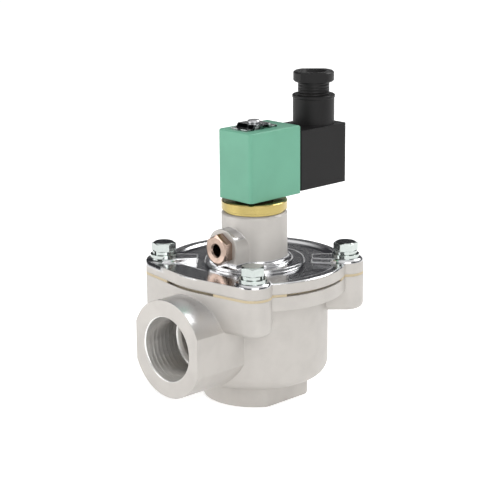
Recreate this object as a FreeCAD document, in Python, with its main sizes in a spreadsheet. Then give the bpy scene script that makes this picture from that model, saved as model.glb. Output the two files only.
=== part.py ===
import FreeCAD, Part
import math
import os
import re
import Sketcher
from FreeCAD import Placement, Rotation, Vector

# Right-angle diaphragm pulse valve for 1 inch pipe, with its own pilot solenoid.
# Millimetres. The origin is the centre of the outlet port's face, +Z runs up the
# diaphragm axis, the inlet port opens towards -Y and the plug points towards +Y.

doc = FreeCAD.newDocument("pulse_valve")
sheet = doc.addObject("Spreadsheet::Sheet", "Sizes")

SIZES = {
    # pipe ports, plain where the thread would be
    "port_bore_radius": 14.95,
    "port_chamfer": 0.45,
    "port_thread_depth": 19.0,
    "port_step": 1.65,
    # valve body casting
    "barrel_radius": 34.7,
    "barrel_bottom": 10.2,
    "barrel_bottom_radius": 7.0,
    "casting_wall": 4.0,
    "floor_thickness": 4.0,
    "chamber_corner_radius": 3.5,
    "seat_tube_wall": 4.0,
    "seat_depth": 5.0,
    "seat_rounding": 1.0,
    "outlet_boss_radius": 25.0,
    "outlet_flat_half": 21.5,
    "outlet_corner_radius": 2.5,
    "inlet_axis_height": 33.4,
    "inlet_reach": 56.0,
    "inlet_boss_radius": 23.0,
    "inlet_flat_half": 21.1,
    "inlet_cover": 2.3,
    "inlet_way_share": 0.45,
    "flange_overhang": 8.6,
    "flange_thickness": 6.6,
    "flange_rounding": 2.5,
    "overlap": 1.0,
    # lugs and their screws
    "bolt_inset": 0.4,
    "lug_radius": 8.5,
    "lug_height": 16.7,
    "lug_rounding": 2.6,
    "tapped_hole_depth": 11.0,
    "screw_radius": 3.0,
    "screw_length": 20.0,
    "screw_head_flats": 10.0,
    "screw_head_height": 4.0,
    "screw_head_turn": 15.0,
    "screw_hole_clearance": 0.3,
    "thread_clearance": 0.05,
    "hex_chamfer": 0.55,
    "washer_radius": 6.4,
    "washer_thickness": 1.6,
    "spring_washer_radius": 5.4,
    "spring_washer_thickness": 1.6,
    "spring_washer_slit": 1.2,
    # diaphragm
    "diaphragm_thickness": 1.2,
    "diaphragm_inset": 2.4,
    "diaphragm_ear_half_angle": 20.5,
    "ear_lap": 4.0,
    "ear_start": 0.36,
    "slope_clearance": 1.1,
    "slope_run": 2.4,
    "slope_shift": 0.8,
    "slope_step": 0.7,
    "bead_offset": 3.3,
    "bead_half_width": 0.9,
    "bead_depth": 0.8,
    "bleed_hole_radius": 0.9,
    "seal_gap": 0.06,
    # diaphragm hub
    "hub_radius": 4.0,
    "plate_overlap": 2.0,
    "support_plate_thickness": 1.5,
    "backing_washer_gap": 1.5,
    "backing_washer_thickness": 1.5,
    "hub_head_radius": 6.5,
    "hub_head_height": 2.4,
    "hub_head_chamfer": 1.0,
    "hub_nut_flats": 10.0,
    "hub_nut_height": 3.6,
    "stud_end": 0.8,
    "main_spring_radius": 8.0,
    "main_spring_wire": 0.65,
    "main_spring_turns": 4.0,
    # bonnet casting
    "cavity_rise": 3.6,
    "bonnet_rise": 6.6,
    "rim_chamfer": 0.6,
    "rim_width": 4.2,
    "dish_slope": 1.4,
    "dish_depth": 1.0,
    "hub_ring_radius": 23.4,
    "hub_ring_rise": 0.5,
    "hub_neck_radius": 17.8,
    "hub_neck_rise": 1.4,
    "stem_foot_radius": 1.05,
    "lug_pad_rise": 1.3,
    "pad_edge_radius": 2.0,
    "arm_inner_radius": 27.0,
    "arm_inner_half": 3.4,
    "arm_outer_half": 5.8,
    "stem_radius": 15.5,
    "stem_above_exhaust": 15.2,
    "stem_chamfer": 0.9,
    "spring_pocket_radius": 9.6,
    "spring_pocket_rise": 3.0,
    "pilot_chamber_radius": 11.05,
    "pilot_chamber_rise": 7.0,
    "equalising_radius": 1.25,
    "equalising_offset": 7.6,
    # exhaust outlet of the pilot
    "exhaust_rise": 8.6,
    "exhaust_boss_radius": 9.4,
    "exhaust_boss_reach": 20.6,
    "exhaust_port_radius": 4.85,
    "exhaust_port_depth": 8.0,
    "exhaust_spigot_gap": 0.5,
    "exhaust_passage_radius": 2.6,
    "exhaust_hex_flats": 13.2,
    "exhaust_hex_height": 4.2,
    "exhaust_hole_radius": 2.8,
    "exhaust_hole_chamfer": 0.6,
    # pilot seat and solenoid
    "pilot_seat_radius": 3.0,
    "pilot_seat_rise": 3.4,
    "pilot_nozzle_rise": 10.0,
    "pilot_nozzle_radius": 1.9,
    "pilot_nozzle_foot": 0.8,
    "pilot_orifice_radius": 1.2,
    "pilot_drop_gap": 0.3,
    "base_flange_height": 5.4,
    "base_step_height": 1.3,
    "base_step": 1.3,
    "base_chamfer": 0.4,
    "base_spigot_gap": 0.6,
    "base_cavity_radius": 8.0,
    "base_cavity_depth": 2.7,
    "oring_radius": 0.8,
    "oring_squeeze": 0.03,
    "oring_seat_radius": 12.85,
    "oring_seat_depth": 1.75,
    "tube_radius": 5.0,
    "tube_bore_radius": 4.05,
    "tube_flange_radius": 7.6,
    "tube_flange_thickness": 1.1,
    "braze_gap": 0.03,
    "tube_below_top": 5.9,
    "plunger_radius": 3.97,
    "plunger_chamfer": 0.5,
    "plunger_top_chamfer": 0.4,
    "plunger_foot_gap": 1.75,
    "plunger_lift": 1.2,
    "plugnut_length": 13.0,
    "plugnut_shoulder": 1.5,
    "plugnut_stud_radius": 3.0,
    "plugnut_stud_rise": 3.8,
    "stud_chamfer": 0.5,
    "clip_groove_radius": 2.3,
    "clip_groove_rise": 2.1,
    "clip_gap": 0.05,
    "shading_outer_radius": 3.2,
    "shading_inner_radius": 2.5,
    "shading_depth": 1.0,
    "plunger_seal_radius": 2.4,
    "plunger_seal_recess": 1.4,
    "plunger_seal_gap": 0.04,
    "core_spring_radius": 1.75,
    "core_spring_wire": 0.25,
    "core_spring_turns": 6.0,
    "core_spring_pocket_depth": 8.0,
    "core_spring_pocket_radius": 2.4,
    # coil
    "coil_half_width": 11.0,
    "coil_front": 12.7,
    "coil_back": 19.4,
    "coil_above_base": 1.1,
    "coil_height": 32.5,
    "coil_rounding": 1.8,
    "coil_top_rounding": 0.9,
    "coil_bore_clearance": 0.08,
    "coil_insert_depth": 5.5,
    "screw_tip_gap": 0.5,
    "coil_washer_gap": 0.3,
    "coil_washer_width": 3.7,
    "winding_radius": 9.3,
    "winding_above_bottom": 4.7,
    "winding_below_top": 5.5,
    "bobbin_wall": 0.9,
    "bobbin_flange": 1.0,
    "yoke_thickness": 1.6,
    "yoke_half_width": 8.0,
    "yoke_back": 9.0,
    "yoke_gap": 0.4,
    "clip_half_width": 5.5,
    "clip_thickness": 0.8,
    "clip_foot": 9.6,
    "clip_bridge_half": 5.2,
    "clip_rise_run": 1.0,
    "clip_bend": 0.2,
    "clip_slot_gap": 0.1,
    # plug and its cable gland
    "gasket_thickness": 0.9,
    "gasket_inset": 0.5,
    "plug_depth": 31.2,
    "plug_half_width": 10.9,
    "plug_above_coil_bottom": 0.9,
    "plug_below_coil_top": 3.0,
    "plug_wall": 1.9,
    "plug_rounding": 1.6,
    "terminal_block_depth": 17.0,
    "terminal_clearance": 0.25,
    "terminal_gap": 0.05,
    "blade_half_width": 2.4,
    "blade_half_thickness": 0.4,
    "blade_length": 9.7,
    "blade_root": 3.0,
    "blade_spacing": 11.0,
    "blade_slack": 0.1,
    "earth_drop": 8.5,
    "plug_screw_radius": 1.5,
    "plug_screw_clearance": 0.15,
    "plug_screw_head_radius": 2.9,
    "plug_screw_head_height": 1.9,
    "plug_screw_head_chamfer": 0.5,
    "driver_slot_half": 0.4,
    "driver_slot_depth": 0.9,
    "gland_inset": 11.8,
    "gland_collar_radius": 9.95,
    "gland_collar_height": 14.1,
    "gland_rim": 0.3,
    "gland_rim_low": 1.6,
    "gland_bore_radius": 7.58,
    "gland_bore_floor": 1.0,
    "cable_hole_radius": 4.6,
    "gland_neck_radius": 7.5,
    "gland_neck_height": 6.2,
    "gland_seal_height": 6.4,
    "gland_seal_gap": 0.1,
    "gland_washer_thickness": 1.0,
    "gland_washer_gap": 0.2,
    "gland_head_radius": 9.75,
    "gland_head_height": 4.9,
    "gland_head_chamfer": 0.6,
    "gland_mouth_flare": 1.6,
    "gland_mouth_depth": 2.4,
}

# Places and radii that follow from the sizes above.
PLACES = {
    "port_mouth_radius": "port_bore_radius + port_chamfer",
    "port_throat_radius": "port_bore_radius - port_step",
    "seat_tube_radius": "port_throat_radius + seat_tube_wall",
    "chamber_radius": "barrel_radius - casting_wall",
    "chamber_floor": "barrel_bottom + floor_thickness",
    "split_height": "inlet_axis_height + inlet_boss_radius + inlet_cover",
    "seat_height": "split_height - seat_depth",
    "flange_radius": "barrel_radius + flange_overhang",
    "flange_underside": "split_height - flange_thickness",
    "bolt_circle_radius": "flange_radius - bolt_inset",
    "lug_across": "bolt_circle_radius * cos(45)",
    "lug_bottom": "split_height - lug_height",
    "tapped_hole_bottom": "split_height - tapped_hole_depth",
    "diaphragm_radius": "flange_radius - diaphragm_inset",
    "diaphragm_slope_outer": "chamber_radius - slope_clearance",
    "diaphragm_slope_inner": "seat_tube_radius + slope_clearance",
    "bead_radius": "chamber_radius + bead_offset",
    "support_plate_radius": "port_throat_radius + plate_overlap",
    "backing_washer_radius": "port_throat_radius - backing_washer_gap",
    "bonnet_bottom": "split_height + diaphragm_thickness",
    "cavity_top": "split_height + cavity_rise",
    "bonnet_top": "split_height + bonnet_rise",
    "rim_inner_radius": "flange_radius - rim_width",
    "dish_outer_radius": "rim_inner_radius - dish_slope",
    "dish_height": "bonnet_top - dish_depth",
    "hub_ring_height": "bonnet_top + hub_ring_rise",
    "hub_neck_height": "bonnet_top + hub_neck_rise",
    "lug_pad_height": "bonnet_top + lug_pad_rise",
    "spring_pocket_top": "bonnet_top + spring_pocket_rise",
    "exhaust_axis_height": "bonnet_top + exhaust_rise",
    "pilot_seat_bottom": "exhaust_axis_height + pilot_seat_rise",
    "pilot_chamber_floor": "exhaust_axis_height + pilot_chamber_rise",
    "pilot_seat_top": "exhaust_axis_height + pilot_nozzle_rise",
    "stem_top": "exhaust_axis_height + stem_above_exhaust",
    "base_flange_top": "stem_top + base_flange_height",
    "base_spigot_bottom": "pilot_chamber_floor + base_spigot_gap",
    "base_cavity_top": "stem_top - base_cavity_depth",
    "coil_bottom": "base_flange_top + coil_above_base",
    "coil_top": "coil_bottom + coil_height",
    "tube_top": "coil_top - tube_below_top",
    "plugnut_bottom": "tube_top - plugnut_length",
    "plugnut_stud_top": "coil_top + plugnut_stud_rise",
    "clip_groove_height": "coil_top + clip_groove_rise",
    "plunger_bottom": "pilot_seat_top + plunger_foot_gap",
    "winding_bottom": "coil_bottom + winding_above_bottom",
    "winding_top": "coil_top - winding_below_top",
    "plug_front": "coil_back + gasket_thickness",
    "plug_back": "plug_front + plug_depth",
    "plug_bottom": "coil_bottom + plug_above_coil_bottom",
    "plug_top": "coil_top - plug_below_coil_top",
    "plug_screw_height": "(plug_bottom + plug_top) / 2",
    "blade_reach": "coil_back + blade_length",
    "gland_axis": "plug_back - gland_inset",
    "gland_collar_top": "plug_top + gland_collar_height",
    "gland_bore_bottom": "plug_top + gland_bore_floor",
    "gland_seal_top": "gland_bore_bottom + gland_seal_height",
    "gland_nut_shoulder": "gland_collar_top + gland_neck_height",
    "gland_nut_top": "gland_nut_shoulder + gland_head_height",
}
for row, (word, number) in enumerate(SIZES.items(), start=1):
    sheet.set("A%d" % row, word)
    sheet.set("B%d" % row, str(number))
    sheet.setAlias("B%d" % row, word)
doc.recompute()


def bound(expression):
    """The expression with every place spelt out and every size pointing at its cell."""
    def spelt(match):
        word = match.group(0)
        if word in PLACES:
            return "(" + bound(PLACES[word]) + ")"
        return "Sizes." + word if word in SIZES else word
    return re.sub(r"[a-z_]+", spelt, str(expression))


def size(expression):
    """The value of an expression of the sizes."""
    return float(sheet.evalExpression(bound(expression)))


def new_body(name):
    """An empty body whose label names its file."""
    body = doc.addObject("PartDesign::Body", name)
    body.Label = name
    body.AllowCompound = True
    return body


def plane_of(body, role):
    """One of a body's own origin planes or axes."""
    return [item for item in body.Origin.OriginFeatures if item.Role == role][0]


def new_sketch(body, name, plane, offset=None):
    """A sketch on one of the body's origin planes, moved along its normal."""
    sketch = body.newObject("Sketcher::SketchObject", name)
    sketch.AttachmentSupport = [(plane_of(body, plane), "")]
    sketch.MapMode = "FlatFace"
    if offset is not None:
        sketch.AttachmentOffset = Placement(Vector(0, 0, size(offset)), Rotation())
        sketch.setExpression("AttachmentOffset.Base.z", bound(offset))
    return sketch


def hold(sketch, kind, element, point, expression):
    """Dimension a point from the sketch's origin; zero puts it on the axis."""
    if str(expression) == "0":
        axis = -2 if kind == "DistanceX" else -1
        sketch.addConstraint(Sketcher.Constraint("PointOnObject", element, point, axis))
        return
    number = sketch.addConstraint(
        Sketcher.Constraint(kind, -1, 1, element, point, size(expression)))
    sketch.setExpression("Constraints[%d]" % number, bound(expression))


def outline(sketch, corners):
    """A closed outline of straight runs through corners given as expressions."""
    points = [Vector(size(across), size(up), 0) for across, up in corners]
    first = sketch.GeometryCount
    for start, end in zip(points, points[1:] + points[:1]):
        sketch.addGeometry(Part.LineSegment(start, end), False)
    for index, (across, up) in enumerate(corners):
        before = first + (index - 1) % len(corners)
        sketch.addConstraint(Sketcher.Constraint("Coincident", before, 2, first + index, 1))
        hold(sketch, "DistanceX", first + index, 1, across)
        hold(sketch, "DistanceY", first + index, 1, up)


def circle(sketch, across, up, radius):
    """A circle held by its centre and radius."""
    centre = Vector(size(across), size(up), 0)
    element = sketch.addGeometry(Part.Circle(centre, Vector(0, 0, 1), size(radius)), False)
    hold(sketch, "DistanceX", element, 3, across)
    hold(sketch, "DistanceY", element, 3, up)
    number = sketch.addConstraint(Sketcher.Constraint("Radius", element, size(radius)))
    sketch.setExpression("Constraints[%d]" % number, bound(radius))


def rectangle(sketch, left, right, bottom, top):
    """An upright rectangle between four expressions."""
    outline(sketch, [(left, bottom), (right, bottom), (right, top), (left, top)])


def flatted_circle(sketch, up, radius, flat_half):
    """A circle with two upright flats, as two arcs joined by two lines."""
    half_angle = math.acos(size(flat_half) / size(radius))
    centre = Vector(0, size(up), 0)
    round_part = Part.Circle(centre, Vector(0, 0, 1), size(radius))
    over = sketch.addGeometry(Part.ArcOfCircle(round_part, half_angle, math.pi - half_angle), False)
    under = sketch.addGeometry(
        Part.ArcOfCircle(round_part, math.pi + half_angle, 2 * math.pi - half_angle), False)
    rise = size(radius) * math.sin(half_angle)
    left = Vector(-size(flat_half), 0, 0)
    right = Vector(size(flat_half), 0, 0)
    up_vector = Vector(0, rise, 0)
    left_line = sketch.addGeometry(
        Part.LineSegment(left + centre + up_vector, left + centre - up_vector), False)
    right_line = sketch.addGeometry(
        Part.LineSegment(right + centre - up_vector, right + centre + up_vector), False)
    for first, first_end, second, second_end in (
            (over, 2, left_line, 1), (left_line, 2, under, 1),
            (under, 2, right_line, 1), (right_line, 2, over, 1)):
        sketch.addConstraint(
            Sketcher.Constraint("Coincident", first, first_end, second, second_end))
    sketch.addConstraint(Sketcher.Constraint("Coincident", over, 3, under, 3))
    hold(sketch, "DistanceX", over, 3, "0")
    hold(sketch, "DistanceY", over, 3, up)
    for element, line_side in ((left_line, "-" + flat_half), (right_line, flat_half)):
        hold(sketch, "DistanceX", element, 1, line_side)
        sketch.addConstraint(Sketcher.Constraint("Vertical", element))
    for element in (over, under):
        number = sketch.addConstraint(Sketcher.Constraint("Radius", element, size(radius)))
        sketch.setExpression("Constraints[%d]" % number, bound(radius))


def checked(feature, body, cut):
    """Recompute a new feature and make sure that it added or removed material."""
    before = feature.BaseFeature.Shape.Volume if feature.BaseFeature else 0.0
    doc.recompute()
    change = feature.Shape.Volume - before
    if feature.isValid() is False or (change > -1e-6 if cut else change < 1e-6):
        raise RuntimeError("%s in %s changes nothing" % (feature.Name, body.Label))
    return feature


def extruded(body, name, plane, draw, start, length, cut=False, backwards=False):
    """Pad or pocket a sketch that draw fills in, from start over length."""
    sketch = new_sketch(body, name + "_sketch", plane, start)
    draw(sketch)
    doc.recompute()
    feature = body.newObject("PartDesign::Pocket" if cut else "PartDesign::Pad", name)
    feature.Profile = sketch
    feature.Length = size(length)
    feature.setExpression("Length", bound(length))
    feature.Reversed = cut != backwards
    return checked(feature, body, cut)


def turned(body, name, corners, cut=False, axis_across=None, axis_up=None, plane="XZ_Plane",
           offset=None):
    """Revolve or groove an outline about the Z axis, or about a line in its plane."""
    sketch = new_sketch(body, name + "_sketch", plane, offset)
    outline(sketch, corners)
    axis = "V_Axis"
    if axis_across is not None or axis_up is not None:
        if axis_up is None:
            start, end = (axis_across, "0"), (axis_across, "bonnet_top")
        else:
            start, end = ("0", axis_up), ("bonnet_top", axis_up)
        line = sketch.addGeometry(Part.LineSegment(
            Vector(size(start[0]), size(start[1]), 0), Vector(size(end[0]), size(end[1]), 0)), True)
        for point, place in ((1, start), (2, end)):
            hold(sketch, "DistanceX", line, point, place[0])
            hold(sketch, "DistanceY", line, point, place[1])
        axis = "Axis0"
    doc.recompute()
    feature = body.newObject("PartDesign::Groove" if cut else "PartDesign::Revolution", name)
    feature.Profile = sketch
    feature.ReferenceAxis = (sketch, [axis])
    feature.Angle = 360
    return checked(feature, body, cut)


def edges_where(shape, test):
    """Names of the edges whose middle point and curve pass a test."""
    names = []
    for index, edge in enumerate(shape.Edges, start=1):
        middle = edge.valueAt(0.5 * (edge.FirstParameter + edge.LastParameter))
        if test(edge, middle):
            names.append("Edge%d" % index)
    return names


def rounded(body, name, radius, test):
    """Fillet the edges of the body's tip that pass a test."""
    tip = body.Tip
    edges = edges_where(tip.Shape, test)
    if not edges:
        raise RuntimeError("no edges for %s in %s" % (name, body.Label))
    feature = body.newObject("PartDesign::Fillet", name)
    feature.Base = (tip, edges)
    feature.Radius = size(radius)
    feature.setExpression("Radius", bound(radius))
    doc.recompute()
    if not feature.isValid():
        raise RuntimeError("%s in %s can't be rounded" % (name, body.Label))
    return feature


def around_axis(body, name, originals, count=4):
    """Repeat features evenly about the valve axis."""
    pattern = body.newObject("PartDesign::PolarPattern", name)
    pattern.Originals = originals
    pattern.Axis = (plane_of(body, "Z_Axis"), [""])
    pattern.Angle = 360
    pattern.Occurrences = count
    body.Tip = pattern
    doc.recompute()
    return pattern


def radius_of(point):
    """Distance of a point from the valve axis."""
    return math.hypot(point.x, point.y)


SMALL = 1e-3


def near(value, target):
    """Whether two lengths agree."""
    return abs(value - target) < SMALL


def upright_edge(edge):
    """Whether an edge runs straight along Z."""
    direction = edge.tangentAt(edge.FirstParameter)
    return not hasattr(edge.Curve, "Radius") and abs(direction.z) > 1 - SMALL


LUGS = [("lug_across", "lug_across"), ("-lug_across", "lug_across"),
        ("-lug_across", "-lug_across"), ("lug_across", "-lug_across")]


def lug_circles(radius):
    """Drawing function for a circle of one radius about each of the four screws."""
    def draw(sketch):
        for across, along in LUGS:
            circle(sketch, across, along, radius)
    return draw


def lug_web(sketch):
    """Straight-sided web that joins the front right lug to the barrel."""
    side = "lug_radius * cos(45)"
    root = "chamber_radius * cos(45)"
    outline(sketch, [
        ("lug_across + " + side, "-lug_across + " + side),
        ("lug_across - " + side, "-lug_across - " + side),
        (root + " - " + side, "-%s - %s" % (root, side)),
        (root + " + " + side, "-%s + %s" % (root, side)),
    ])


# The inlet side's wall is the common tangent of the flange and its two lugs.
WALL_TURN = "(45 deg - acos((flange_radius - lug_radius) / bolt_circle_radius))"
WALL_FLANGE = ("flange_radius * sin(%s)" % WALL_TURN, "-flange_radius * cos(%s)" % WALL_TURN)
WALL_LUG = ("lug_across + lug_radius * sin(%s)" % WALL_TURN,
            "-lug_across - lug_radius * cos(%s)" % WALL_TURN)


def inlet_side_wall(sketch):
    """Flange outline pulled tight round the two lugs on the inlet side."""
    outline(sketch, [
        WALL_FLANGE, WALL_LUG, ("lug_across", "-lug_across"), ("-lug_across", "-lug_across"),
        ("-(%s)" % WALL_LUG[0], WALL_LUG[1]), ("-(%s)" % WALL_FLANGE[0], WALL_FLANGE[1]),
    ])


# Valve body: an aluminium casting with an annular inlet chamber round a central
# seat tube, which carries the flow straight down to the outlet port.
valve_body = new_body("valve_body")
turned(valve_body, "barrel", [
    ("0", "barrel_bottom"), ("barrel_radius", "barrel_bottom"),
    ("barrel_radius", "flange_underside"), ("flange_radius", "flange_underside"),
    ("flange_radius", "split_height"), ("0", "split_height")])
rounded(valve_body, "barrel_bottom_edge", "barrel_bottom_radius",
        lambda edge, middle: near(middle.z, size("barrel_bottom")))
rounded(valve_body, "flange_underside_edge", "flange_rounding",
        lambda edge, middle: near(middle.z, size("flange_underside"))
        and near(radius_of(middle), size("barrel_radius")))
extruded(valve_body, "body_lugs", "XY_Plane", lug_circles("lug_radius"),
         "lug_bottom", "split_height - lug_bottom")
body_web = extruded(valve_body, "body_lug_web", "XY_Plane", lug_web,
                    "lug_bottom", "split_height - lug_bottom")
around_axis(valve_body, "body_lug_webs", [body_web])
extruded(valve_body, "inlet_wall", "XY_Plane", inlet_side_wall,
         "lug_bottom", "split_height - lug_bottom")
rounded(valve_body, "lug_bottom_edges", "lug_rounding",
        lambda edge, middle: near(middle.z, size("lug_bottom"))
        and radius_of(middle) > size("barrel_radius + overlap"))
extruded(valve_body, "inlet_boss", "XZ_Plane",
         lambda sketch: flatted_circle(sketch, "inlet_axis_height", "inlet_boss_radius",
                                       "inlet_flat_half"),
         "0", "inlet_reach")
extruded(valve_body, "outlet_boss", "XY_Plane",
         lambda sketch: flatted_circle(sketch, "0", "outlet_boss_radius", "outlet_flat_half"),
         "0", "chamber_floor - overlap")
rounded(valve_body, "outlet_corners", "outlet_corner_radius",
        lambda edge, middle: upright_edge(edge) and middle.z < size("barrel_bottom")
        and radius_of(middle) > size("outlet_boss_radius") - SMALL)
turned(valve_body, "outlet_way_and_chamber", [
    ("0", "0"), ("port_mouth_radius", "0"), ("port_bore_radius", "port_chamfer"),
    ("port_bore_radius", "port_thread_depth"),
    ("port_throat_radius", "port_thread_depth + port_step"),
    ("port_throat_radius", "seat_height - seat_rounding"),
    ("port_throat_radius + seat_rounding", "seat_height"),
    ("seat_tube_radius - seat_rounding", "seat_height"),
    ("seat_tube_radius", "seat_height - seat_rounding"),
    ("seat_tube_radius", "chamber_floor"), ("chamber_radius", "chamber_floor"),
    ("chamber_radius", "split_height"), ("0", "split_height")], cut=True)
rounded(valve_body, "chamber_corner", "chamber_corner_radius",
        lambda edge, middle: near(middle.z, size("chamber_floor"))
        and near(radius_of(middle), size("chamber_radius")))
WAY_END = "-(seat_tube_radius + inlet_way_share * (chamber_radius - seat_tube_radius))"
turned(valve_body, "inlet_way", [
    ("-inlet_reach", "inlet_axis_height"),
    ("-inlet_reach", "inlet_axis_height + port_mouth_radius"),
    ("-inlet_reach + port_chamfer", "inlet_axis_height + port_bore_radius"),
    ("-inlet_reach + port_thread_depth", "inlet_axis_height + port_bore_radius"),
    ("-inlet_reach + port_thread_depth + port_step", "inlet_axis_height + port_throat_radius"),
    (WAY_END, "inlet_axis_height + port_throat_radius"), (WAY_END, "inlet_axis_height")],
    cut=True, axis_up="inlet_axis_height", plane="YZ_Plane")
turned(valve_body, "bead_groove", [
    ("bead_radius - bead_half_width - seal_gap", "split_height - bead_depth - seal_gap"),
    ("bead_radius + bead_half_width + seal_gap", "split_height - bead_depth - seal_gap"),
    ("bead_radius + bead_half_width + seal_gap", "split_height"),
    ("bead_radius - bead_half_width - seal_gap", "split_height")], cut=True)
extruded(valve_body, "tapped_holes", "XY_Plane", lug_circles("screw_radius + thread_clearance"),
         "tapped_hole_bottom", "split_height - tapped_hole_bottom", cut=True)

# Bonnet: aluminium cover with a dished polished top, four clamping pads, the
# stem that takes the solenoid and the side boss of the pilot exhaust.
bonnet = new_body("bonnet")
extruded(bonnet, "clamp_pads", "XY_Plane", lug_circles("lug_radius"),
         "bonnet_bottom", "lug_pad_height - bonnet_bottom")
rounded(bonnet, "pad_edges", "pad_edge_radius",
        lambda edge, middle: near(middle.z, size("lug_pad_height")))
turned(bonnet, "bonnet_disc", [
    ("0", "bonnet_bottom"), ("flange_radius", "bonnet_bottom"),
    ("flange_radius", "bonnet_top - rim_chamfer"), ("flange_radius - rim_chamfer", "bonnet_top"),
    ("rim_inner_radius", "bonnet_top"), ("dish_outer_radius", "dish_height"),
    ("hub_ring_radius", "dish_height"), ("hub_ring_radius", "hub_ring_height"),
    ("hub_neck_radius", "hub_ring_height"), ("hub_neck_radius", "hub_neck_height"),
    ("stem_radius", "hub_neck_height"), ("stem_radius", "stem_top - stem_chamfer"),
    ("stem_radius - stem_chamfer", "stem_top"), ("0", "stem_top")])
rounded(bonnet, "stem_foot", "stem_foot_radius",
        lambda edge, middle: near(middle.z, size("hub_neck_height"))
        and near(radius_of(middle), size("stem_radius")))


def clamp_arm(sketch):
    """Tapering arm that runs from a lug inwards onto the disc."""
    inner = "arm_inner_radius * cos(45)"
    wide = "arm_outer_half * cos(45)"
    slim = "arm_inner_half * cos(45)"
    outline(sketch, [
        ("lug_across - " + wide, "-lug_across - " + wide),
        ("lug_across + " + wide, "-lug_across + " + wide),
        (inner + " + " + slim, "-" + inner + " + " + slim),
        (inner + " - " + slim, "-" + inner + " - " + slim)])


arm = extruded(bonnet, "clamp_arm", "XY_Plane", clamp_arm, "cavity_top",
               "lug_pad_height - cavity_top")
around_axis(bonnet, "clamp_arms", [arm])
extruded(bonnet, "bonnet_inlet_side", "XY_Plane", inlet_side_wall,
         "bonnet_bottom", "bonnet_top - bonnet_bottom")


def exhaust_boss_outline(sketch):
    """Round-topped boss with straight sides down to the bonnet."""
    radius = size("exhaust_boss_radius")
    height = size("exhaust_axis_height")
    foot = size("cavity_top")
    arch = sketch.addGeometry(Part.ArcOfCircle(
        Part.Circle(Vector(0, height, 0), Vector(0, 0, 1), radius), 0, math.pi), False)
    corners = [Vector(-radius, height, 0), Vector(-radius, foot, 0),
               Vector(radius, foot, 0), Vector(radius, height, 0)]
    lines = [sketch.addGeometry(Part.LineSegment(start, end), False)
             for start, end in zip(corners, corners[1:])]
    joints = [(arch, 2, lines[0], 1), (lines[0], 2, lines[1], 1),
              (lines[1], 2, lines[2], 1), (lines[2], 2, arch, 1)]
    for first, first_end, second, second_end in joints:
        sketch.addConstraint(
            Sketcher.Constraint("Coincident", first, first_end, second, second_end))
    hold(sketch, "DistanceX", arch, 3, "0")
    hold(sketch, "DistanceY", arch, 3, "exhaust_axis_height")
    hold(sketch, "DistanceX", lines[0], 1, "-exhaust_boss_radius")
    hold(sketch, "DistanceY", lines[0], 1, "exhaust_axis_height")
    hold(sketch, "DistanceX", lines[0], 2, "-exhaust_boss_radius")
    hold(sketch, "DistanceY", lines[0], 2, "cavity_top")
    hold(sketch, "DistanceX", lines[2], 1, "exhaust_boss_radius")
    hold(sketch, "DistanceY", lines[2], 1, "cavity_top")
    hold(sketch, "DistanceY", lines[2], 2, "exhaust_axis_height")


extruded(bonnet, "exhaust_boss", "XZ_Plane", exhaust_boss_outline, "0", "exhaust_boss_reach")
turned(bonnet, "bonnet_cavity", [
    ("0", "bonnet_bottom"), ("chamber_radius", "bonnet_bottom"), ("chamber_radius", "cavity_top"),
    ("spring_pocket_radius", "cavity_top"), ("spring_pocket_radius", "spring_pocket_top"),
    ("0", "spring_pocket_top")], cut=True)
turned(bonnet, "pilot_chamber", [
    ("0", "pilot_seat_bottom"),
    ("pilot_seat_radius + thread_clearance", "pilot_seat_bottom"),
    ("pilot_seat_radius + thread_clearance", "pilot_chamber_floor"),
    ("pilot_chamber_radius", "pilot_chamber_floor"),
    ("pilot_chamber_radius", "stem_top - oring_seat_depth"),
    ("oring_seat_radius", "stem_top - oring_seat_depth"),
    ("oring_seat_radius", "stem_top"), ("0", "stem_top")], cut=True)
turned(bonnet, "pilot_drop", [
    ("0", "exhaust_axis_height"),
    ("pilot_orifice_radius + pilot_drop_gap", "exhaust_axis_height"),
    ("pilot_orifice_radius + pilot_drop_gap", "pilot_seat_bottom"), ("0", "pilot_seat_bottom")],
    cut=True)
turned(bonnet, "exhaust_way", [
    ("-exhaust_boss_reach", "exhaust_axis_height"),
    ("-exhaust_boss_reach", "exhaust_axis_height + exhaust_port_radius"),
    ("-exhaust_boss_reach + exhaust_port_depth", "exhaust_axis_height + exhaust_port_radius"),
    ("-exhaust_boss_reach + exhaust_port_depth",
     "exhaust_axis_height + exhaust_passage_radius"),
    ("pilot_orifice_radius", "exhaust_axis_height + exhaust_passage_radius"),
    ("pilot_orifice_radius", "exhaust_axis_height")],
    cut=True, axis_up="exhaust_axis_height", plane="YZ_Plane")
extruded(bonnet, "equalising_hole", "XY_Plane",
         lambda sketch: circle(sketch, "0", "equalising_offset", "equalising_radius"),
         "spring_pocket_top - overlap", "pilot_chamber_floor - spring_pocket_top + 2 * overlap",
         cut=True)
SCREW_GAP = "screw_radius + screw_hole_clearance"
extruded(bonnet, "screw_holes", "XY_Plane", lug_circles(SCREW_GAP),
         "bonnet_bottom", "lug_pad_height - bonnet_bottom", cut=True)

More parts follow.
